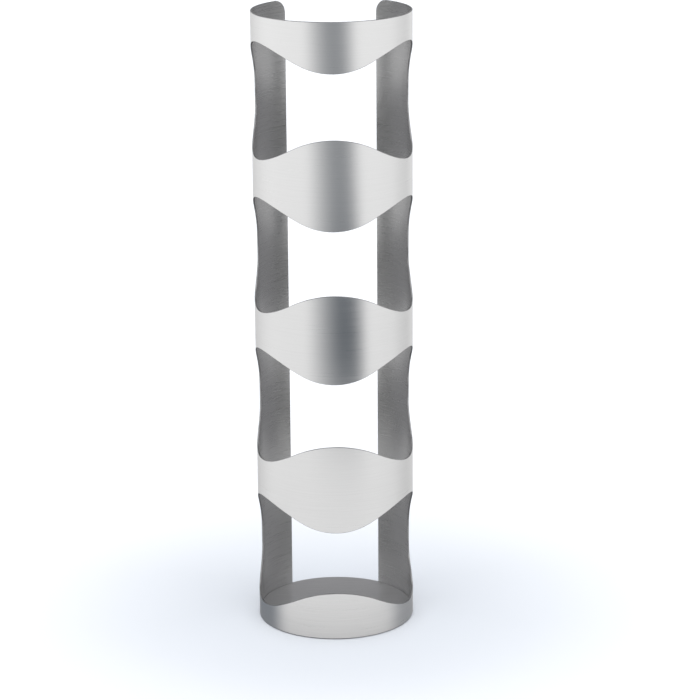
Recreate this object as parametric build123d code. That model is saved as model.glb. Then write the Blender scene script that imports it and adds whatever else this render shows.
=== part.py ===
from build123d import *

import math
import os

# A free-standing wine rack: one sheet of stainless steel rolled into a tall tube that is open
# along its back, with four bottle slots cut through its sides and front. A round plate closes
# the foot of the tube inside, and four rubber feet under the plate carry the rack.
# Millimetres, +Z up. The front faces -Y. The origin is on the floor, on the axis of the tube.

# rolled sheet
outer_diameter = 114.0
sheet_thickness = 1.2
shell_height = 450.0
rear_gap_width = 66.5
rear_corner_radius = 9.0

# bottle slots, seen from the side
slot_count = 4
slot_pitch = 111.0
lowest_slot_height = 56.5
slot_height = 83.0
slot_radius = 41.0
upper_arc_setback = 23.0
lower_arc_setback = 19.0
slot_back_depth = 15.5
slot_back_blend = 33.0
lip_angle = 45.0

# foot of the rack
rim_clearance = 0.5
plate_thickness = 3.0
plate_recess = 2.0
tongue_clearance = 0.2
weld_leg = 1.6
weld_length = 10.0
weld_angles = (-125.0, -75.0, -25.0, 25.0, 75.0, 125.0)
foot_diameter = 16.0
foot_circle_radius = 44.0
foot_edge_radius = 0.8

outer_radius = outer_diameter / 2
inner_radius = outer_radius - sheet_thickness
gap_half_angle = math.asin(rear_gap_width / 2 / outer_radius)
plate_bottom = rim_clearance + plate_recess
margin = 10.0


def slot_outline():
    """Side view of one slot about its own middle: x is along Y, y is height."""
    lift = slot_height / 2 - slot_radius
    upper = Vector(-upper_arc_setback, lift)
    lower = Vector(-lower_arc_setback, -lift)
    slope = math.radians(lip_angle)
    away = Vector(-math.sin(slope), math.cos(slope)) * slot_radius
    upper_tangent = upper + away
    lower_tangent = lower + Vector(away.X, -away.Y)
    mouth = -outer_radius - margin
    upper_mouth = upper_tangent + Vector(-1, -math.tan(slope)) * (upper_tangent.X - mouth)
    lower_mouth = lower_tangent + Vector(-1, math.tan(slope)) * (lower_tangent.X - mouth)
    upper_rise = math.sqrt(slot_radius**2 - (slot_back_depth - upper.X) ** 2)
    lower_rise = math.sqrt(slot_radius**2 - (slot_back_depth - lower.X) ** 2)
    upper_back = Vector(slot_back_depth, upper.Y + upper_rise)
    lower_back = Vector(slot_back_depth, lower.Y - lower_rise)
    edges = Curve() + [
        Line(upper_mouth, upper_tangent),
        ThreePointArc(upper_tangent, upper + Vector(0, slot_radius), upper_back),
        Line(upper_back, lower_back),
        ThreePointArc(lower_back, lower - Vector(0, slot_radius), lower_tangent),
        Line(lower_tangent, lower_mouth),
        Line(lower_mouth, upper_mouth),
    ]
    face = make_face(edges)
    back_corners = face.vertices().group_by(Axis.X)[-1]
    return fillet(back_corners, slot_back_blend)


def rear_corner_cutter():
    """Removes the square corner beside the rear gap at the top, on the +X side."""
    across = Vector(math.cos(gap_half_angle), -math.sin(gap_half_angle), 0)
    outward = Vector(math.sin(gap_half_angle), math.cos(gap_half_angle), 0)
    corner = outward * inner_radius + Vector(0, 0, shell_height)
    square = Rectangle(2 * rear_corner_radius, 2 * rear_corner_radius)
    round_part = Pos(rear_corner_radius, -rear_corner_radius) * Circle(rear_corner_radius)
    plane = Plane(origin=corner, x_dir=across, z_dir=-outward)
    return extrude(plane * (square - round_part), amount=margin / 2, both=True)


def rack_shell():
    """Rolled sheet, open along the back, with its four bottle slots."""
    section = Pos(inner_radius + sheet_thickness / 2, shell_height / 2) * Rectangle(
        sheet_thickness, shell_height
    )
    rolled_angle = 360 - 2 * math.degrees(gap_half_angle)
    shell = revolve(Plane.XZ * section, Axis.Z, rolled_angle)
    shell = Rot(0, 0, 90 + math.degrees(gap_half_angle)) * shell
    corner = rear_corner_cutter()
    shell -= corner
    shell -= mirror(corner, about=Plane.YZ)
    slot = extrude(Plane.YZ * slot_outline(), amount=outer_diameter, both=True)
    for number in range(slot_count):
        shell -= Pos(0, 0, lowest_slot_height + number * slot_pitch) * slot
    return Pos(0, 0, rim_clearance) * shell


def base_plate():
    """Disc inside the foot of the shell; a tongue fills the gap flush with the outside."""
    disc = Pos(0, 0, plate_thickness / 2) * Cylinder(inner_radius, plate_thickness)
    half_angle = math.degrees(gap_half_angle - tongue_clearance / outer_radius)
    section = Pos(outer_radius / 2, plate_thickness / 2) * Rectangle(outer_radius, plate_thickness)
    tongue = revolve(Plane.XZ * section, Axis.Z, 2 * half_angle)
    tongue = Rot(0, 0, 90 - half_angle) * tongue
    return Pos(0, 0, plate_bottom) * (disc + tongue)


def weld_bead():
    """Short fillet weld in the corner under the plate, centred on the front."""
    corner = Vector(inner_radius, 0, plate_bottom)
    under_plate = corner - Vector(weld_leg, 0, 0)
    on_wall = corner - Vector(0, 0, weld_leg)
    bulge = corner - Vector(1, 0, 1) * weld_leg * 0.6
    outline = Curve() + [
        Line(corner, under_plate),
        ThreePointArc(under_plate, bulge, on_wall),
        Line(on_wall, corner),
    ]
    sweep_angle = math.degrees(weld_length / inner_radius)
    bead = revolve(make_face(outline), Axis.Z, sweep_angle)
    return Rot(0, 0, -90 - sweep_angle / 2) * bead


def tack_welds():
    """The welds that hold the plate, as separate solids."""
    bead = weld_bead()
    return Compound(children=[Rot(0, 0, angle) * bead for angle in weld_angles])


def rubber_foot():
    """Round pad stuck under the plate, with a rounded lower edge."""
    pad = Pos(0, 0, plate_bottom / 2) * Cylinder(foot_diameter / 2, plate_bottom)
    return fillet(pad.edges().group_by(Axis.Z)[0], foot_edge_radius)


def feet():
    """Four pads on one circle, named by where they are seen from the front."""
    places = {
        "foot_front_right": -45,
        "foot_rear_right": 45,
        "foot_rear_left": 135,
        "foot_front_left": 225,
    }
    pads = {}
    for name, angle in places.items():
        turn = math.radians(angle)
        x = foot_circle_radius * math.cos(turn)
        y = foot_circle_radius * math.sin(turn)
        pads[name] = Pos(x, y, 0) * rubber_foot()
    return pads


os.makedirs("parts", exist_ok=True)
nodes = {
    "rack_shell": rack_shell(),
    "base_plate": base_plate(),
    "tack_welds": tack_welds(),
}
nodes.update(feet())
for name, shape in nodes.items():
    export_step(shape, f"parts/{name}.step")
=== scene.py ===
import math

import bmesh
import bpy
import numpy as np
from mathutils import Matrix, Vector

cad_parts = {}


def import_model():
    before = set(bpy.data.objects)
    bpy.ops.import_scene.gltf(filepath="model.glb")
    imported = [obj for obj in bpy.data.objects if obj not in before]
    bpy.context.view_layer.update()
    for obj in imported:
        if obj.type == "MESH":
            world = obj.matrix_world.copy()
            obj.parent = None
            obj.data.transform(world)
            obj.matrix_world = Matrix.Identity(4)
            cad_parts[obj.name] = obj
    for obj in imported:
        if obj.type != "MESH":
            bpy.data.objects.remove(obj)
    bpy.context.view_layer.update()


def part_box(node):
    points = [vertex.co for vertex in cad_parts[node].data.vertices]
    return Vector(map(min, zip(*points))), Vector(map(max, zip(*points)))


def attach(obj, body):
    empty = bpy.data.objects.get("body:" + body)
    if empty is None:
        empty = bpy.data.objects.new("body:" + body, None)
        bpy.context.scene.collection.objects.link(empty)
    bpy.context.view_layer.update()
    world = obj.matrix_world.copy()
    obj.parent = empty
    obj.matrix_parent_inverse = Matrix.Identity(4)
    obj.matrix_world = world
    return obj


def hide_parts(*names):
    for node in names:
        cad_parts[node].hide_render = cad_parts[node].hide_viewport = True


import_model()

# Wine rack: one sheet of brushed stainless steel, rolled and open along the back, with a plate,
# weld beads and rubber feet inside its foot. Metres, front towards -Y, floor at Z = 0.

MM = 0.001
SHELL_LOW, SHELL_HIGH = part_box("rack_shell")
PLATE_LOW, PLATE_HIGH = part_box("base_plate")

# rolled sheet
OUTER_RADIUS = (SHELL_HIGH.x - SHELL_LOW.x) / 2
SHEET = 1.2 * MM
INNER_RADIUS = OUTER_RADIUS - SHEET
RIM_LOW = SHELL_LOW.z
RIM_HIGH = SHELL_HIGH.z
GAP_HALF_WIDTH = 33.25 * MM
GAP_HALF_ANGLE = math.asin(GAP_HALF_WIDTH / OUTER_RADIUS)
SHEET_END = OUTER_RADIUS * (math.pi - GAP_HALF_ANGLE)
TOP_CORNER = 9 * MM
BOTTOM_CORNER = 1.5 * MM
CUT_EDGE_RADIUS = 0.28 * MM

# bottle slots
SLOT_COUNT = 4
SLOT_PITCH = 111 * MM
LOWEST_SLOT = RIM_LOW + 56.5 * MM
SLOT_RADIUS = 41 * MM
SLOT_LIFT = 0.5 * MM
UPPER_ARC_Y = -23 * MM
LOWER_ARC_Y = -19 * MM
SLOT_BACK_Y = 15.5 * MM
SLOT_BACK_BLEND = 33 * MM
RUN_SPLIT = 50  # bearing in degrees at which the edge of a slot is split into runs

# mesh density
ACROSS_STEPS = 62
BACK_STEPS = 36
CORNER_STEPS = 6
SHEET_STEPS = 10
EDGE_STEPS = 3
FINE = 400

# colours of the materials, from dark to light
STEEL_DARK, STEEL_LIGHT = (0.68, 0.68, 0.68), (0.74, 0.74, 0.74)
# the inside's colours are the outside's made darker: partly its duller mill finish, partly painted shade
# inside the tube
INSIDE_SHADED_DARK, INSIDE_SHADED_LIGHT = (0.5304, 0.5304, 0.5304), (0.5772, 0.5772, 0.5772)
EDGE_DARK, EDGE_LIGHT = (0.2, 0.2, 0.205), (0.34, 0.34, 0.345)
PLATE_DARK, PLATE_LIGHT = (0.5, 0.5, 0.51), (0.62, 0.62, 0.63)
HEAT_BLUE, HEAT_STRAW = (0.42, 0.43, 0.46), (0.52, 0.42, 0.27)
RUBBER_DARK, RUBBER_DUSTY = (0.016, 0.016, 0.017), (0.04, 0.039, 0.037)

# places of the sheet's materials
OUTSIDE, CUT_EDGE, INSIDE = 0, 1, 2

# how far the brushing stretches the highlights, and how rough each face is beside the outer one
STEEL_STRETCH, INSIDE_STRETCH = 0.8, 0.2
STEEL_ROUGH, INSIDE_ROUGH = 1.0, 0.85

# depth of the fine relief of the materials
STEEL_RELIEF = 0.012 * MM
INSIDE_RELIEF = 0.0018 * MM
EDGE_RELIEF = 0.01 * MM
PLATE_RELIEF = 0.01 * MM
WELD_RELIEF = 0.03 * MM
RUBBER_RELIEF = 0.03 * MM

# base plate, welds and feet
TONGUE_CLEARANCE = 0.2 * MM
PLATE_SEAM = 0.06 * MM
PLATE_BREAK = 0.4 * MM
PLATE_BORDER = 1 * MM
TONGUE_STEPS = 40
DISC_STEPS = 150
WELD_ANGLES = (-125, -75, -25, 25, 75, 125)
WELD_LENGTH = 10 * MM
WELD_LEG = 1.6 * MM
WELD_STEPS = 72
WELD_RIPPLES = 9
WELD_SECTION = 10
FOOT_ROUND = 0.7 * MM
FOOT_DRAFT = 0.25 * MM
FOOT_HOLLOW = 0.33 * MM
FOOT_STEPS = 72

# camera: lens in mm, angles in degrees
CAMERA_LENS = 141.27
CAMERA_DISTANCE = 1.91568
CAMERA_HEIGHT = 0.75046
CAMERA_SIDE = 3.991 * MM
CAMERA_PITCH = 15.974
CAMERA_YAW = 0.224
CAMERA_ROLL = -0.399
CAMERA_ORBIT = 0.785

# floor and light
FLOOR_HALF = 12
# the floor's colour near the rack's axis is painted shadow round the foot; further out it is the plain
# floor colour
FLOOR_PAINTED_SHADE, FLOOR_FAR = (0.76, 0.78, 0.81), (0.97, 0.97, 0.97)
AMBIENT = (0.34, 0.37, 0.42, 1)
SUN_ENERGY = 2.5
SUN_SPREAD = 100
SUN_TILT = 6
STUDIO_LEVELS = (
    (-180, 0.7), (-154, 0.74), (-132, 0.92), (-116, 1.05), (-100, 1.1), (-60, 1.1), (60, 1.1),
    (91, 1.05), (115, 0.88), (130, 0.78), (150, 0.84), (180, 0.7),
)

# cards that the metal mirrors
FRONT_CARD_Y = -0.13
FRONT_CARD_GREY = (0.0, 0.02, 0.045)
REAR_CARD_GREY = (0.28, 0.28, 0.29)
REAR_CARD_PHASE = 0.252
BASE_CARD_X = 0.1
BASE_CARD_GREY = (0.12, 0.15, 0.19)
FLOOR_CARD_GREY = (0.3, 0.3, 0.31)


def arc(centre, radius, start, end):
    """Dense points of an arc in the side view, angles in degrees from +Y towards +Z."""
    angle = np.radians(np.linspace(start, end, FINE))
    return np.stack([centre[0] + radius * np.cos(angle), centre[1] + radius * np.sin(angle)], 1)


def unrolled(points, radius):
    """Side-view points (y, z) to the flat sheet (length from the front, z)."""
    angle = np.arccos(np.clip(-points[:, 0] / radius, -1, 1))
    return np.stack([angle * OUTER_RADIUS, points[:, 1]], 1)


def lip(tangent, rise, radius):
    """The straight 45 degree lip from the front of the sheet back to its tangent point."""
    angle = np.linspace(0, math.acos(-tangent[0] / radius), FINE)
    y = -radius * np.cos(angle)
    return np.stack([y, tangent[1] + rise * (y - tangent[0])], 1)


def resampled(line, steps):
    """Points and unit directions at equal spacing along a dense line."""
    length = np.concatenate([[0], np.cumsum(np.linalg.norm(np.diff(line, axis=0), axis=1))])
    keep = np.concatenate([[True], np.diff(length) > 1e-9])
    line, length = line[keep], length[keep]
    at = np.linspace(0, length[-1], steps + 1)
    points = np.stack([np.interp(at, length, line[:, k]) for k in (0, 1)], 1)
    step = length[-1] / steps / 4
    ahead = np.stack([np.interp(at + step, length, line[:, k]) for k in (0, 1)], 1)
    behind = np.stack([np.interp(at - step, length, line[:, k]) for k in (0, 1)], 1)
    way = ahead - behind
    return points, way / np.linalg.norm(way, axis=1)[:, None]


def slot_side_view():
    """Upper and lower half of one slot in the side view, about its middle, from the front lip."""
    upper = (UPPER_ARC_Y, SLOT_LIFT)
    lower = (LOWER_ARC_Y, -SLOT_LIFT)
    reach = SLOT_RADIUS - SLOT_BACK_BLEND
    blend_y = SLOT_BACK_Y - SLOT_BACK_BLEND
    upper_turn = math.acos((blend_y - upper[0]) / reach)
    lower_turn = math.acos((blend_y - lower[0]) / reach)
    upper_blend = (blend_y, upper[1] + reach * math.sin(upper_turn))
    lower_blend = (blend_y, lower[1] - reach * math.sin(lower_turn))
    upper_turn, lower_turn = math.degrees(upper_turn), math.degrees(lower_turn)
    over = arc(upper, SLOT_RADIUS, 135, upper_turn)
    under = arc(lower, SLOT_RADIUS, -lower_turn, -135)
    top = [lip(over[0], 1, OUTER_RADIUS), over, arc(upper_blend, SLOT_BACK_BLEND, upper_turn, 0)]
    lower_lip = lip(under[-1], -1, INNER_RADIUS)[::-1]
    bottom = [arc(lower_blend, SLOT_BACK_BLEND, 0, -lower_turn), under, lower_lip]
    return np.concatenate(top), np.concatenate(bottom)


def slot_runs():
    """Right half of one slot's edge in the flat sheet about its middle, front top to front bottom.

    The upper half is laid out on the outer face and the lower half on the inner face, so
    that the edge a bottle can touch is where the design has it. The three runs, front top,
    back and front bottom, meet where the slot's back corners are.
    """
    top, bottom = slot_side_view()
    side = np.concatenate([top, bottom])
    flat = np.concatenate([unrolled(top, OUTER_RADIUS), unrolled(bottom, INNER_RADIUS)])
    bearing = np.degrees(np.arctan2(side[:, 1], side[:, 0] - UPPER_ARC_Y))
    first = int(np.argmax(bearing < RUN_SPLIT))
    second = int(np.argmax(bearing < -RUN_SPLIT))
    runs = [
        resampled(flat[: first + 1], ACROSS_STEPS),
        resampled(flat[first : second + 1], BACK_STEPS),
        resampled(flat[second:], ACROSS_STEPS),
    ]
    points = np.concatenate([runs[0][0], runs[1][0][1:], runs[2][0][1:]])
    ways = np.concatenate([runs[0][1], runs[1][1][1:], runs[2][1][1:]])
    ways[0] = (1, 0)
    ways[-1] = (-1, 0)
    into_sheet = np.stack([-ways[:, 1], ways[:, 0]], 1)
    return points, into_sheet


def frame_run(low, high, open_low, open_high):
    """The outer border of one slot's part of the sheet, in step with slot_runs.

    Returns points and inset vectors; an inset of zero is a joint with the next part.
    """
    points, insets = [], []

    def straight(start, end, steps, inset):
        for k in range(steps):
            points.append(np.array(start) + (np.array(end) - np.array(start)) * k / steps)
            insets.append(inset)

    def corner(centre, radius, start, end, steps):
        for k in range(steps):
            angle = math.radians(start + (end - start) * k / steps)
            way = np.array([math.cos(angle), math.sin(angle)])
            points.append(np.array(centre) + radius * way)
            insets.append(-way)

    top_round = TOP_CORNER if open_high else 0
    low_round = BOTTOM_CORNER if open_low else 0
    top_steps = CORNER_STEPS if open_high else 0
    low_steps = CORNER_STEPS if open_low else 0
    top_in = np.array([0, -1.0 if open_high else 0])
    low_in = np.array([0, 1.0 if open_low else 0])
    side_in = np.array([-1.0, 0])
    turn = SHEET_END - top_round
    foot = SHEET_END - low_round
    straight((0, high), (turn, high), ACROSS_STEPS - top_steps, top_in)
    corner((turn, high - top_round), top_round, 90, 0, 2 * top_steps)
    side = BACK_STEPS - top_steps - low_steps
    straight((SHEET_END, high - top_round), (SHEET_END, low + low_round), side, side_in)
    corner((foot, low + low_round), low_round, 0, -90, 2 * low_steps)
    first = len(points)
    straight((foot, low), (0, low), ACROSS_STEPS - low_steps, low_in)
    points.append(np.array([0, low]))
    insets.append(low_in)
    if not open_low:
        insets[first] = side_in
    return np.array(points), np.array(insets)


def edge_profile():
    """Cross-section of a deburred cut edge: (inset, depth, lean of the normal in radians)."""
    quarter = [math.pi / 2 * k / EDGE_STEPS for k in range(EDGE_STEPS + 1)]
    r = CUT_EDGE_RADIUS
    front = [(r * (1 - math.sin(a)), r * (1 - math.cos(a)), a) for a in quarter]
    back = [(inset, SHEET - depth, math.pi - lean) for inset, depth, lean in reversed(front)]
    return front + back


class SheetMesh:
    """Gathers the vertices, exact normals and faces of the rolled sheet."""

    def __init__(self):
        self.bm = bmesh.new()
        self.normal = self.bm.verts.layers.float_vector.new("exact_normal")

    def vertex(self, side, flat, depth, lean=0.0, outward=(0, 0)):
        """A point of the flat sheet rolled to its place; lean turns the normal to the edge."""
        angle = side * flat[0] / OUTER_RADIUS
        radius = OUTER_RADIUS - depth
        radial = Vector((math.sin(angle), -math.cos(angle), 0))
        along = Vector((math.cos(angle), math.sin(angle), 0)) * side
        vert = self.bm.verts.new((radial.x * radius, radial.y * radius, flat[1]))
        edge = along * outward[0] + Vector((0, 0, outward[1]))
        vert[self.normal] = (radial * math.cos(lean) + edge * math.sin(lean)).normalized()
        return vert

    def patch(self, rows, material):
        """Quads between neighbouring rows of vertices."""
        for row, following in zip(rows, rows[1:]):
            for k in range(len(row) - 1):
                corners = (row[k], row[k + 1], following[k + 1], following[k])
                face = self.bm.faces.new(corners)
                face.material_index = material
                face.smooth = True

    def strip(self, side, points, insets, profile):
        """The rounded cut edge along a border."""
        rows = []
        for point, inset in zip(points, insets):
            rows.append([
                self.vertex(side, point + inset * distance, depth, lean, -inset)
                for distance, depth, lean in profile
            ])
        self.patch(rows, CUT_EDGE)

    def sheet(self, side, inner, outer, depth):
        """One face of the sheet between a slot and the border of its part."""
        lean = 0.0 if depth == 0 else math.pi
        rows = []
        for near, far in zip(inner, outer):
            rows.append([
                self.vertex(side, near + (far - near) * k / SHEET_STEPS, depth, lean)
                for k in range(SHEET_STEPS + 1)
            ])
        self.patch(rows, OUTSIDE if depth == 0 else INSIDE)


def finished(bm, name, materials):
    """Turns a bmesh with exact normals into an object."""
    bmesh.ops.remove_doubles(bm, verts=bm.verts, dist=0.004 * MM)
    bmesh.ops.recalc_face_normals(bm, faces=bm.faces)
    mesh = bpy.data.meshes.new(name)
    bm.to_mesh(mesh)
    bm.free()
    normals = np.zeros(len(mesh.vertices) * 3)
    mesh.attributes["exact_normal"].data.foreach_get("vector", normals)
    mesh.normals_split_custom_set_from_vertices(normals.reshape(-1, 3).tolist())
    mesh.attributes.remove(mesh.attributes["exact_normal"])
    for material in materials:
        mesh.materials.append(material)
    piece = bpy.data.objects.new(name, mesh)
    bpy.context.scene.collection.objects.link(piece)
    return piece


def shell_piece(materials):
    """The whole rolled sheet, built slot by slot for each side."""
    build = SheetMesh()
    slot, into = slot_runs()
    profile = edge_profile()
    for number in range(SLOT_COUNT):
        middle = LOWEST_SLOT + number * SLOT_PITCH
        lowest, highest = number == 0, number == SLOT_COUNT - 1
        low = RIM_LOW if lowest else middle - SLOT_PITCH / 2
        high = RIM_HIGH if highest else middle + SLOT_PITCH / 2
        hole = slot + (0, middle)
        border, insets = frame_run(low, high, lowest, highest)
        for side in (-1, 1):
            for depth in (0, SHEET):
                build.sheet(side, hole + into * CUT_EDGE_RADIUS, border + insets * CUT_EDGE_RADIUS, depth)
            build.strip(side, hole, into, profile)
            is_open = np.abs(insets).sum(1) > 0
            for first, last in open_stretches(is_open):
                build.strip(side, border[first:last], insets[first:last], profile)
    return finished(build.bm, "rack_sheet", materials)


def open_stretches(flags):
    """Index ranges where a border is a free edge."""
    found, start = [], None
    for k, flag in enumerate(list(flags) + [False]):
        if flag and start is None:
            start = k
        if not flag and start is not None:
            found.append((start, k))
            start = None
    return found


# ---------------------------------------------------------------- foot of the rack

def lathe(name, profile, centre, steps, materials):
    """A closed solid of revolution about a vertical axis from (radius, height) points."""
    bm = bmesh.new()
    rings = []
    for radius, height in profile:
        if radius == 0:
            rings.append([bm.verts.new((centre[0], centre[1], height))])
            continue
        ring = []
        for k in range(steps):
            angle = 2 * math.pi * k / steps
            x = centre[0] + radius * math.cos(angle)
            y = centre[1] + radius * math.sin(angle)
            ring.append(bm.verts.new((x, y, height)))
        rings.append(ring)
    for low, high in zip(rings, rings[1:]):
        for k in range(steps):
            following = (k + 1) % steps
            if len(low) == 1:
                bm.faces.new((low[0], high[following], high[k]))
            elif len(high) == 1:
                bm.faces.new((low[k], low[following], high[0]))
            else:
                bm.faces.new((low[k], low[following], high[following], high[k]))
    return smooth_piece(bm, name, materials, 40)


def smooth_piece(bm, name, materials, crease):
    """Object with smooth shading, kept sharp where faces turn by more than the crease angle."""
    bmesh.ops.recalc_face_normals(bm, faces=bm.faces)
    for face in bm.faces:
        face.smooth = True
    for edge in bm.edges:
        if len(edge.link_faces) == 2 and edge.calc_face_angle() > math.radians(crease):
            edge.smooth = False
    mesh = bpy.data.meshes.new(name)
    bm.to_mesh(mesh)
    bm.free()
    for material in materials:
        mesh.materials.append(material)
    piece = bpy.data.objects.new(name, mesh)
    bpy.context.scene.collection.objects.link(piece)
    return piece


def plate_outline(inset, height):
    """Points round the plate and its tongue, stepped in from the edge."""
    half = GAP_HALF_ANGLE - (TONGUE_CLEARANCE + inset) / OUTER_RADIUS
    tongue_radius = OUTER_RADIUS - PLATE_SEAM - inset
    disc_radius = INNER_RADIUS - PLATE_SEAM - inset
    outline = []
    for k in range(TONGUE_STEPS + 1):
        outline.append((tongue_radius, half * (2 * k / TONGUE_STEPS - 1)))
    for k in range(DISC_STEPS + 1):
        outline.append((disc_radius, half + 2 * (math.pi - half) * k / DISC_STEPS))
    return [(-radius * math.sin(angle), radius * math.cos(angle), height) for radius, angle in outline]


def base_plate_piece(materials):
    """Round plate with a tongue in the rear gap and softly broken edges."""
    quarter = [math.pi / 2 * k / EDGE_STEPS for k in range(EDGE_STEPS + 1)]
    rise = [(PLATE_BREAK * (1 - math.sin(a)), PLATE_BREAK * (1 - math.cos(a))) for a in quarter]
    rise.insert(0, (PLATE_BREAK + PLATE_BORDER, 0.0))
    profile = [(inset, PLATE_LOW.z + up) for inset, up in rise]
    profile += [(inset, PLATE_HIGH.z - up) for inset, up in reversed(rise)]
    bm = bmesh.new()
    rings = [[bm.verts.new(place) for place in plate_outline(*step)] for step in profile]
    bm.faces.new(rings[0][::-1])
    bm.faces.new(rings[-1])
    for low, high in zip(rings, rings[1:]):
        for k in range(len(low)):
            following = (k + 1) % len(low)
            bm.faces.new((low[k], low[following], high[following], high[k]))
    return smooth_piece(bm, "base_plate_disc", materials, 50)


def weld_bead(bm, middle_angle):
    """One fillet weld in the corner under the plate: overlapping ripples that die away at both ends."""
    half_turn = WELD_LENGTH / 2 / INNER_RADIUS
    rows = []
    for k in range(WELD_STEPS + 1):
        share = k / WELD_STEPS
        taper = math.sqrt(max(0.0, 1 - abs(2 * share - 1) ** 3))
        ripple = 1 + 0.09 * abs(math.sin(math.pi * share * WELD_RIPPLES + 0.4 * math.sin(9 * share)))
        leg = WELD_LEG * (0.12 + 0.78 * taper * ripple)
        angle = middle_angle - half_turn + 2 * half_turn * share
        row = []
        for step in range(WELD_SECTION + 1):
            turn = math.pi / 2 * step / WELD_SECTION
            across = leg * math.cos(turn) ** 0.8 if step < WELD_SECTION else 0.0
            down = leg * math.sin(turn) ** 0.8 if step else 0.0
            radius = INNER_RADIUS - across
            place = (radius * math.sin(angle), -radius * math.cos(angle), PLATE_LOW.z - down)
            row.append(bm.verts.new(place))
        corner = (INNER_RADIUS * math.sin(angle), -INNER_RADIUS * math.cos(angle), PLATE_LOW.z)
        row.append(bm.verts.new(corner))
        rows.append(row)
    for row, following in zip(rows, rows[1:]):
        for k in range(len(row)):
            after = (k + 1) % len(row)
            bm.faces.new((row[k], row[after], following[after], following[k]))
    bm.faces.new(rows[0])
    bm.faces.new(rows[-1][::-1])


def weld_piece(materials):
    """All the welds under the plate."""
    bm = bmesh.new()
    for angle in WELD_ANGLES:
        weld_bead(bm, math.radians(angle))
    return smooth_piece(bm, "weld_beads", materials, 60)


def foot_piece(node, materials):
    """Moulded rubber pad: rounded lower edge, drafted side, shallow hollow below, thin top flange."""
    low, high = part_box(node)
    centre = ((low.x + high.x) / 2, (low.y + high.y) / 2)
    radius = (high.x - low.x) / 2
    top = high.z
    waist = radius - FOOT_DRAFT
    profile = [(0, low.z + 0.35 * MM)]
    for k in range(5):
        share = k / 4
        profile.append((radius * (0.45 + 0.12 * share), low.z + FOOT_HOLLOW * (1 - share ** 1.5)))
    for k in range(7):
        angle = math.pi / 2 * k / 6
        profile.append((
            waist - FOOT_ROUND + FOOT_ROUND * math.sin(angle),
            low.z + FOOT_ROUND - FOOT_ROUND * math.cos(angle),
        ))
    profile += [
        (waist - 0.1 * MM, top - 0.55 * MM),
        (waist, top - 0.45 * MM),
        (radius - 0.05 * MM, top - 0.4 * MM),
        (radius, top - 0.3 * MM),
        (radius, top - 0.08 * MM),
        (radius - 0.08 * MM, top),
        (0, top),
    ]
    return lathe(node.replace("foot", "pad"), profile, centre, FOOT_STEPS, materials)


# ---------------------------------------------------------------- materials

def add_node(tree, kind, **settings):
    """A new node with its settings."""
    node = tree.nodes.new(kind)
    for name, value in settings.items():
        setattr(node, name, value)
    return node


def feed(tree, socket, value):
    """Links an output, or sets a constant."""
    if isinstance(value, bpy.types.NodeSocket):
        tree.links.new(value, socket)
    else:
        socket.default_value = value


def calc(tree, operation, *values):
    """The result of a math node."""
    node = add_node(tree, "ShaderNodeMath", operation=operation)
    for socket, value in zip(node.inputs, values):
        feed(tree, socket, value)
    return node.outputs[0]


def between(tree, value, low, high, out_low=0.0, out_high=1.0, kind="SMOOTHSTEP"):
    """Maps a value smoothly from one range to another, held at both ends."""
    node = add_node(tree, "ShaderNodeMapRange", interpolation_type=kind)
    for socket, number in zip(node.inputs, (value, low, high, out_low, out_high)):
        feed(tree, socket, number)
    return node.outputs[0]


def position(tree):
    """The x, y and z of a point in metres, in the frame of the rack."""
    place = add_node(tree, "ShaderNodeTexCoord")
    parts = add_node(tree, "ShaderNodeSeparateXYZ")
    tree.links.new(place.outputs["Object"], parts.inputs[0])
    return parts.outputs[0], parts.outputs[1], parts.outputs[2]


def from_axis(tree, x, y):
    """Distance from the axis of the tube."""
    squares = [calc(tree, "MULTIPLY", side, side) for side in (x, y)]
    return calc(tree, "SQRT", calc(tree, "ADD", *squares))


def round_the_tube(tree):
    """Length along the sheet from the front, height, and distance from the axis, in metres."""
    x, y, z = position(tree)
    angle = calc(tree, "ARCTAN2", x, calc(tree, "MULTIPLY", y, -1.0))
    return calc(tree, "MULTIPLY", angle, OUTER_RADIUS), z, from_axis(tree, x, y)


def streaks(tree, coordinates, cycles, detail=2.0, rough=0.55):
    """Noise stretched by different numbers of cycles per metre along each coordinate."""
    join = add_node(tree, "ShaderNodeCombineXYZ")
    for socket, coordinate, rate in zip(join.inputs, coordinates, cycles):
        feed(tree, socket, calc(tree, "MULTIPLY", coordinate, rate))
    noise = add_node(tree, "ShaderNodeTexNoise")
    noise.inputs["Scale"].default_value = 1.0
    noise.inputs["Detail"].default_value = detail
    noise.inputs["Roughness"].default_value = rough
    tree.links.new(join.outputs[0], noise.inputs["Vector"])
    return noise.outputs[0]


def tint(tree, share, low, high):
    """Colour between two colours."""
    blend = add_node(tree, "ShaderNodeMix", data_type="RGBA")
    feed(tree, blend.inputs["Factor"], share)
    blend.inputs[6].default_value = (*low, 1)
    blend.inputs[7].default_value = (*high, 1)
    return blend.outputs[2]


def colour(tree, shader, share, low, high):
    """Gives a shader a base colour between two colours."""
    tree.links.new(tint(tree, share, low, high), shader.inputs["Base Color"])


def bump(tree, shader, height, depth):
    """Gives a shader a fine relief of the given depth."""
    node = add_node(tree, "ShaderNodeBump")
    node.inputs["Strength"].default_value = 1.0
    node.inputs["Distance"].default_value = depth
    tree.links.new(height, node.inputs["Height"])
    tree.links.new(node.outputs["Normal"], shader.inputs["Normal"])


def new_material(name, metallic, roughness=0.4):
    """A material, its node tree and its Principled shader."""
    material = bpy.data.materials.new(name)
    material.use_nodes = True
    shader = material.node_tree.nodes["Principled BSDF"]
    shader.inputs["Metallic"].default_value = metallic
    shader.inputs["Roughness"].default_value = roughness
    return material, material.node_tree, shader


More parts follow.
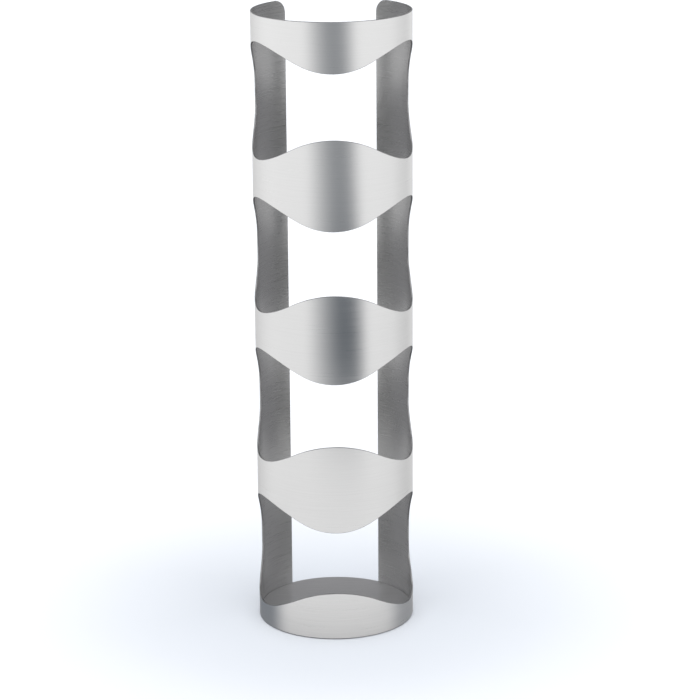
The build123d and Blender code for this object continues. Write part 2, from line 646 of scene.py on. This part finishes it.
def brushed_steel(name, dark, light, stretch, roughness, relief):
    """Satin stainless face of the sheet, brushed round the tube, with uneven fine scratches."""
    material, tree, shader = new_material(name, 1.0)
    shader.inputs["Anisotropic"].default_value = stretch
    shader.inputs["Anisotropic Rotation"].default_value = 0.25
    tangent = add_node(tree, "ShaderNodeTangent", direction_type="RADIAL", axis="Z")
    tree.links.new(tangent.outputs["Tangent"], shader.inputs["Tangent"])
    place = round_the_tube(tree)
    hair = streaks(tree, place, (38, 5200, 900), 3.0, 0.6)
    band = streaks(tree, place, (9, 900, 300), 3.0, 0.65)
    cloud = streaks(tree, place, (9, 14, 200), 2.0)
    scratch = between(tree, streaks(tree, place, (14, 2600, 500), 1.0), 0.66, 0.78)
    grain = calc(tree, "ADD", calc(tree, "MULTIPLY", hair, 0.6), calc(tree, "MULTIPLY", band, 0.4))
    rough = between(tree, grain, 0.3, 0.7, 0.28, 0.42, "LINEAR")
    rough = calc(tree, "ADD", rough, calc(tree, "MULTIPLY", calc(tree, "SUBTRACT", cloud, 0.5), 0.08))
    rough = calc(tree, "SUBTRACT", rough, calc(tree, "MULTIPLY", scratch, 0.08))
    tree.links.new(calc(tree, "MULTIPLY", rough, roughness), shader.inputs["Roughness"])
    shade = calc(tree, "ADD", calc(tree, "MULTIPLY", grain, 0.8), calc(tree, "MULTIPLY", cloud, 0.2))
    colour(tree, shader, between(tree, shade, 0.3, 0.7), dark, light)
    bump(tree, shader, calc(tree, "SUBTRACT", grain, calc(tree, "MULTIPLY", scratch, 0.3)), relief)
    return material


def cut_edge():
    """Deburred laser cut: darker than the faces, with fine lines across the thickness."""
    material, tree, shader = new_material("cut_edge", 1.0)
    along, height, depth = round_the_tube(tree)
    lines = streaks(tree, (along, height, depth), (3200, 3200, 300), 2.0)
    wear = streaks(tree, (along, height, depth), (90, 90, 90), 2.0)
    tree.links.new(between(tree, lines, 0.3, 0.7, 0.3, 0.5), shader.inputs["Roughness"])
    colour(tree, shader, between(tree, wear, 0.35, 0.65), EDGE_DARK, EDGE_LIGHT)
    bump(tree, shader, lines, EDGE_RELIEF)
    return material


def plate_steel():
    """Cold-rolled plate with a satin finish in one direction and faint handling marks."""
    material, tree, shader = new_material("plate_steel", 1.0)
    place = position(tree)
    grain = streaks(tree, place, (40, 3400, 900), 3.0, 0.6)
    marks = streaks(tree, place, (35, 60, 60), 3.0)
    rough = between(tree, grain, 0.3, 0.7, 0.34, 0.46, "LINEAR")
    rough = calc(tree, "ADD", rough, calc(tree, "MULTIPLY", calc(tree, "SUBTRACT", marks, 0.5), 0.16))
    tree.links.new(rough, shader.inputs["Roughness"])
    colour(tree, shader, between(tree, grain, 0.3, 0.7), PLATE_DARK, PLATE_LIGHT)
    bump(tree, shader, grain, PLATE_RELIEF)
    return material


def weld_steel():
    """Weld metal, dull, with straw and blue heat tint."""
    material, tree, shader = new_material("weld_steel", 1.0)
    place = position(tree)
    heat = streaks(tree, place, (260, 260, 260), 2.0)
    scale = streaks(tree, place, (1800, 1800, 1800), 3.0)
    colour(tree, shader, between(tree, heat, 0.35, 0.6), HEAT_BLUE, HEAT_STRAW)
    tree.links.new(between(tree, scale, 0.3, 0.7, 0.3, 0.55), shader.inputs["Roughness"])
    bump(tree, shader, scale, WELD_RELIEF)
    return material


def rubber():
    """Matt black moulded rubber with a fine grain and a little dust."""
    material, tree, shader = new_material("foot_rubber", 0.0)
    place = position(tree)
    grain = streaks(tree, place, (3000, 3000, 3000), 2.0)
    dust = streaks(tree, place, (140, 140, 140), 3.0)
    colour(tree, shader, between(tree, dust, 0.4, 0.75), RUBBER_DARK, RUBBER_DUSTY)
    tree.links.new(between(tree, grain, 0.3, 0.7, 0.62, 0.82), shader.inputs["Roughness"])
    bump(tree, shader, grain, RUBBER_RELIEF)
    return material


# ---------------------------------------------------------------- studio

def camera():
    """A long lens at a distance, a little above the rack, looking down at it."""
    data = bpy.data.cameras.new("camera")
    data.sensor_width = 36
    data.lens = CAMERA_LENS
    data.clip_end = 100
    holder = bpy.data.objects.new("camera", data)
    aim = (
        Matrix.Rotation(math.radians(-CAMERA_YAW), 4, "Z")
        @ Matrix.Rotation(math.radians(90 - CAMERA_PITCH), 4, "X")
        @ Matrix.Rotation(math.radians(CAMERA_ROLL), 4, "Z")
    )
    place = Matrix.Translation((CAMERA_SIDE, -CAMERA_DISTANCE, CAMERA_HEIGHT))
    holder.matrix_world = Matrix.Rotation(math.radians(-CAMERA_ORBIT), 4, "Z") @ place @ aim
    bpy.context.scene.collection.objects.link(holder)
    bpy.context.scene.camera = holder


def floor():
    """Pale floor, painted darker round the rack: a painted pool of shadow about its foot."""
    bm = bmesh.new()
    bmesh.ops.create_grid(bm, x_segments=8, y_segments=8, size=FLOOR_HALF)
    mesh = bpy.data.meshes.new("floor")
    bm.to_mesh(mesh)
    bm.free()
    material, tree, shader = new_material("floor", 0.0, 0.9)
    x, y, z = position(tree)
    # painted shadow: the floor's colour darkens towards the rack's axis
    far = between(tree, from_axis(tree, x, y), 0.06, 0.34)
    colour(tree, shader, far, FLOOR_PAINTED_SHADE, FLOOR_FAR)
    shader.inputs["Specular IOR Level"].default_value = 0.0
    mesh.materials.append(material)
    plane = bpy.data.objects.new("floor", mesh)
    bpy.context.scene.collection.objects.link(plane)
    plane.visible_glossy = False


def glossy_only(piece):
    """Lets only the metal's reflections see a studio card."""
    piece.visible_camera = False
    piece.visible_diffuse = False
    piece.visible_transmission = False
    piece.visible_volume_scatter = False
    piece.visible_shadow = False


def card(name, corners, grey, density):
    """A flat card of an even grey; density is a function that gives its node from the tree."""
    mesh = bpy.data.meshes.new(name)
    mesh.from_pydata(corners, [], [(0, 1, 2, 3)])
    material = bpy.data.materials.new(name)
    material.use_nodes = True
    tree = material.node_tree
    tree.nodes.clear()
    glow = add_node(tree, "ShaderNodeEmission")
    glow.inputs["Color"].default_value = (*grey, 1)
    clear = add_node(tree, "ShaderNodeBsdfTransparent")
    blend = add_node(tree, "ShaderNodeMixShader")
    feed(tree, blend.inputs[0], density(tree))
    tree.links.new(clear.outputs[0], blend.inputs[1])
    tree.links.new(glow.outputs[0], blend.inputs[2])
    out = add_node(tree, "ShaderNodeOutputMaterial")
    tree.links.new(blend.outputs[0], out.inputs["Surface"])
    mesh.materials.append(material)
    piece = bpy.data.objects.new(name, mesh)
    bpy.context.scene.collection.objects.link(piece)
    glossy_only(piece)


def front_card():
    """The soft dark line down the front of the upper bands: a slanting card, faded at every side."""
    def density(tree):
        x, y, z = position(tree)
        line = calc(tree, "ADD", 12 * MM, calc(tree, "MULTIPLY", calc(tree, "SUBTRACT", 0.38, z), 0.12))
        width = between(tree, z, 0.2, 0.34, 1.3, 1.0, "LINEAR")
        off = calc(tree, "DIVIDE", calc(tree, "SUBTRACT", x, line), width)
        left = between(tree, off, -106 * MM, -4 * MM)
        right = between(tree, off, 76 * MM, 8 * MM)
        sides = calc(tree, "MULTIPLY", left, right)
        foot = between(tree, z, 0.135, 0.175)
        weight = between(tree, z, 0.21, 0.32, 0.94, 0.69)
        return calc(tree, "MULTIPLY", sides, calc(tree, "MULTIPLY", foot, weight))

    start, end, low, high = -0.16, 0.18, 0.1, 0.7
    plan = [(start, FRONT_CARD_Y), (end, FRONT_CARD_Y)]
    corners = [(*plan[0], low), (*plan[1], low), (*plan[1], high), (*plan[0], high)]
    card("front_card", corners, FRONT_CARD_GREY, density)


def rear_cards():
    """A grey bay behind the rack, lighter at each slot, which the inside of the sheet mirrors."""
    def density(tree):
        x, y, z = position(tree)
        height = calc(tree, "SUBTRACT", z, REAR_CARD_PHASE)
        wave = calc(tree, "SINE", calc(tree, "MULTIPLY", height, math.tau / SLOT_PITCH))
        band = between(tree, wave, -0.2, 1.0, 1.0, 0.5)
        return calc(tree, "MULTIPLY", between(tree, y, 0.042, 0.052), band)

    side, start, back, low, high = 0.062, 0.042, 0.2, -0.3, 0.75
    plan = [(-side, start), (-side, back), (side, back), (side, start)]
    for number, (near, far) in enumerate(zip(plan, plan[1:])):
        corners = [(*near, low), (*far, low), (*far, high), (*near, high)]
        card("rear_card_%d" % number, corners, REAR_CARD_GREY, density)


def base_cards():
    """Low grey cards beside the foot, for its darker flanks."""
    for name, side, weight in (("left", -1, 0.9), ("right", 1, 0.55)):
        def density(tree):
            x, y, z = position(tree)
            depth = between(tree, y, -62 * MM, -8 * MM, 0.0, weight)
            return calc(tree, "MULTIPLY", depth, between(tree, z, 0.055, 0.03))

        x, front, back, low, high = side * BASE_CARD_X, -0.065, 0.12, -0.1, 0.06
        corners = [(x, front, low), (x, back, low), (x, back, high), (x, front, high)]
        card("base_card_" + name, corners, BASE_CARD_GREY, density)


def floor_card():
    """The shade the foot sees on the floor round it, fading outwards."""
    def density(tree):
        x, y, z = position(tree)
        return between(tree, from_axis(tree, x, y), 0.055, 0.17, 0.5, 0.0)

    half, low = 0.18, 0.1 * MM
    corners = [(-half, -half, low), (half, -half, low), (half, half, low), (-half, half, low)]
    card("floor_card", corners, FLOOR_CARD_GREY, density)


def world():
    """A light studio all round, whose level changes with the bearing from the front.

    The camera sees plain white behind the rack, and the floor is lit by an even ambient grey.
    """
    sky = bpy.data.worlds.new("studio")
    bpy.context.scene.world = sky
    sky.use_nodes = True
    tree = sky.node_tree
    background = tree.nodes["Background"]
    place = add_node(tree, "ShaderNodeTexCoord")
    parts = add_node(tree, "ShaderNodeSeparateXYZ")
    tree.links.new(place.outputs["Generated"], parts.inputs[0])
    turn = calc(tree, "ARCTAN2", parts.outputs["X"], calc(tree, "MULTIPLY", parts.outputs["Y"], -1.0))
    share = between(tree, turn, -math.pi, math.pi, 0.0, 1.0, "LINEAR")
    ramp = add_node(tree, "ShaderNodeValToRGB")
    ramp.color_ramp.interpolation = "EASE"
    tree.links.new(share, ramp.inputs[0])
    elements = ramp.color_ramp.elements
    while len(elements) < len(STUDIO_LEVELS):
        elements.new(0.5)
    for element, (bearing, level) in zip(elements, STUDIO_LEVELS):
        element.position = (bearing + 180) / 360
        element.color = (level / 2, level / 2, level / 2, 1)
    fall = between(tree, parts.outputs["Z"], -0.5, -0.1, 1.35, 2.4)
    light = add_node(tree, "ShaderNodeVectorMath", operation="SCALE")
    tree.links.new(ramp.outputs["Color"], light.inputs[0])
    tree.links.new(fall, light.inputs["Scale"])
    rays = add_node(tree, "ShaderNodeLightPath")
    seen = add_node(tree, "ShaderNodeMix", data_type="RGBA")
    tree.links.new(rays.outputs["Is Camera Ray"], seen.inputs["Factor"])
    tree.links.new(light.outputs[0], seen.inputs[6])
    seen.inputs[7].default_value = (1, 1, 1, 1)
    ambient = add_node(tree, "ShaderNodeMix", data_type="RGBA")
    tree.links.new(rays.outputs["Is Diffuse Ray"], ambient.inputs["Factor"])
    tree.links.new(seen.outputs[2], ambient.inputs[6])
    ambient.inputs[7].default_value = AMBIENT
    tree.links.new(ambient.outputs[2], background.inputs["Color"])


def soft_sun():
    """Very wide overhead light for the floor, left out of the metal's reflections."""
    data = bpy.data.lights.new("soft_sun", "SUN")
    data.energy = SUN_ENERGY
    data.angle = math.radians(SUN_SPREAD)
    lamp = bpy.data.objects.new("soft_sun", data)
    lamp.rotation_euler = (math.radians(SUN_TILT), 0, 0)
    lamp.visible_glossy = False
    bpy.context.scene.collection.objects.link(lamp)


# ---------------------------------------------------------------- the rack

camera()
floor()
world()
soft_sun()
front_card()
rear_cards()
base_cards()
floor_card()

outside = brushed_steel(
    "brushed_steel", STEEL_DARK, STEEL_LIGHT, STEEL_STRETCH, STEEL_ROUGH, STEEL_RELIEF
)
# inner face: the same steel in darker colours, painted shade inside the tube as well as a duller mill
# finish
inside = brushed_steel(
    "brushed_steel_inside_shaded", INSIDE_SHADED_DARK, INSIDE_SHADED_LIGHT, INSIDE_STRETCH, INSIDE_ROUGH, INSIDE_RELIEF
)
shell = shell_piece([outside, cut_edge(), inside])
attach(shell, "root")
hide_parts("rack_shell")

plate = base_plate_piece([plate_steel()])
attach(plate, "root")
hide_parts("base_plate")

welds = weld_piece([weld_steel()])
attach(welds, "root")
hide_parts("tack_welds")

black_rubber = rubber()
for foot in ("foot_front_left", "foot_front_right", "foot_rear_left", "foot_rear_right"):
    pad = foot_piece(foot, [black_rubber])
    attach(pad, "root")
    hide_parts(foot)

bpy.context.scene.view_settings.view_transform = "Standard"
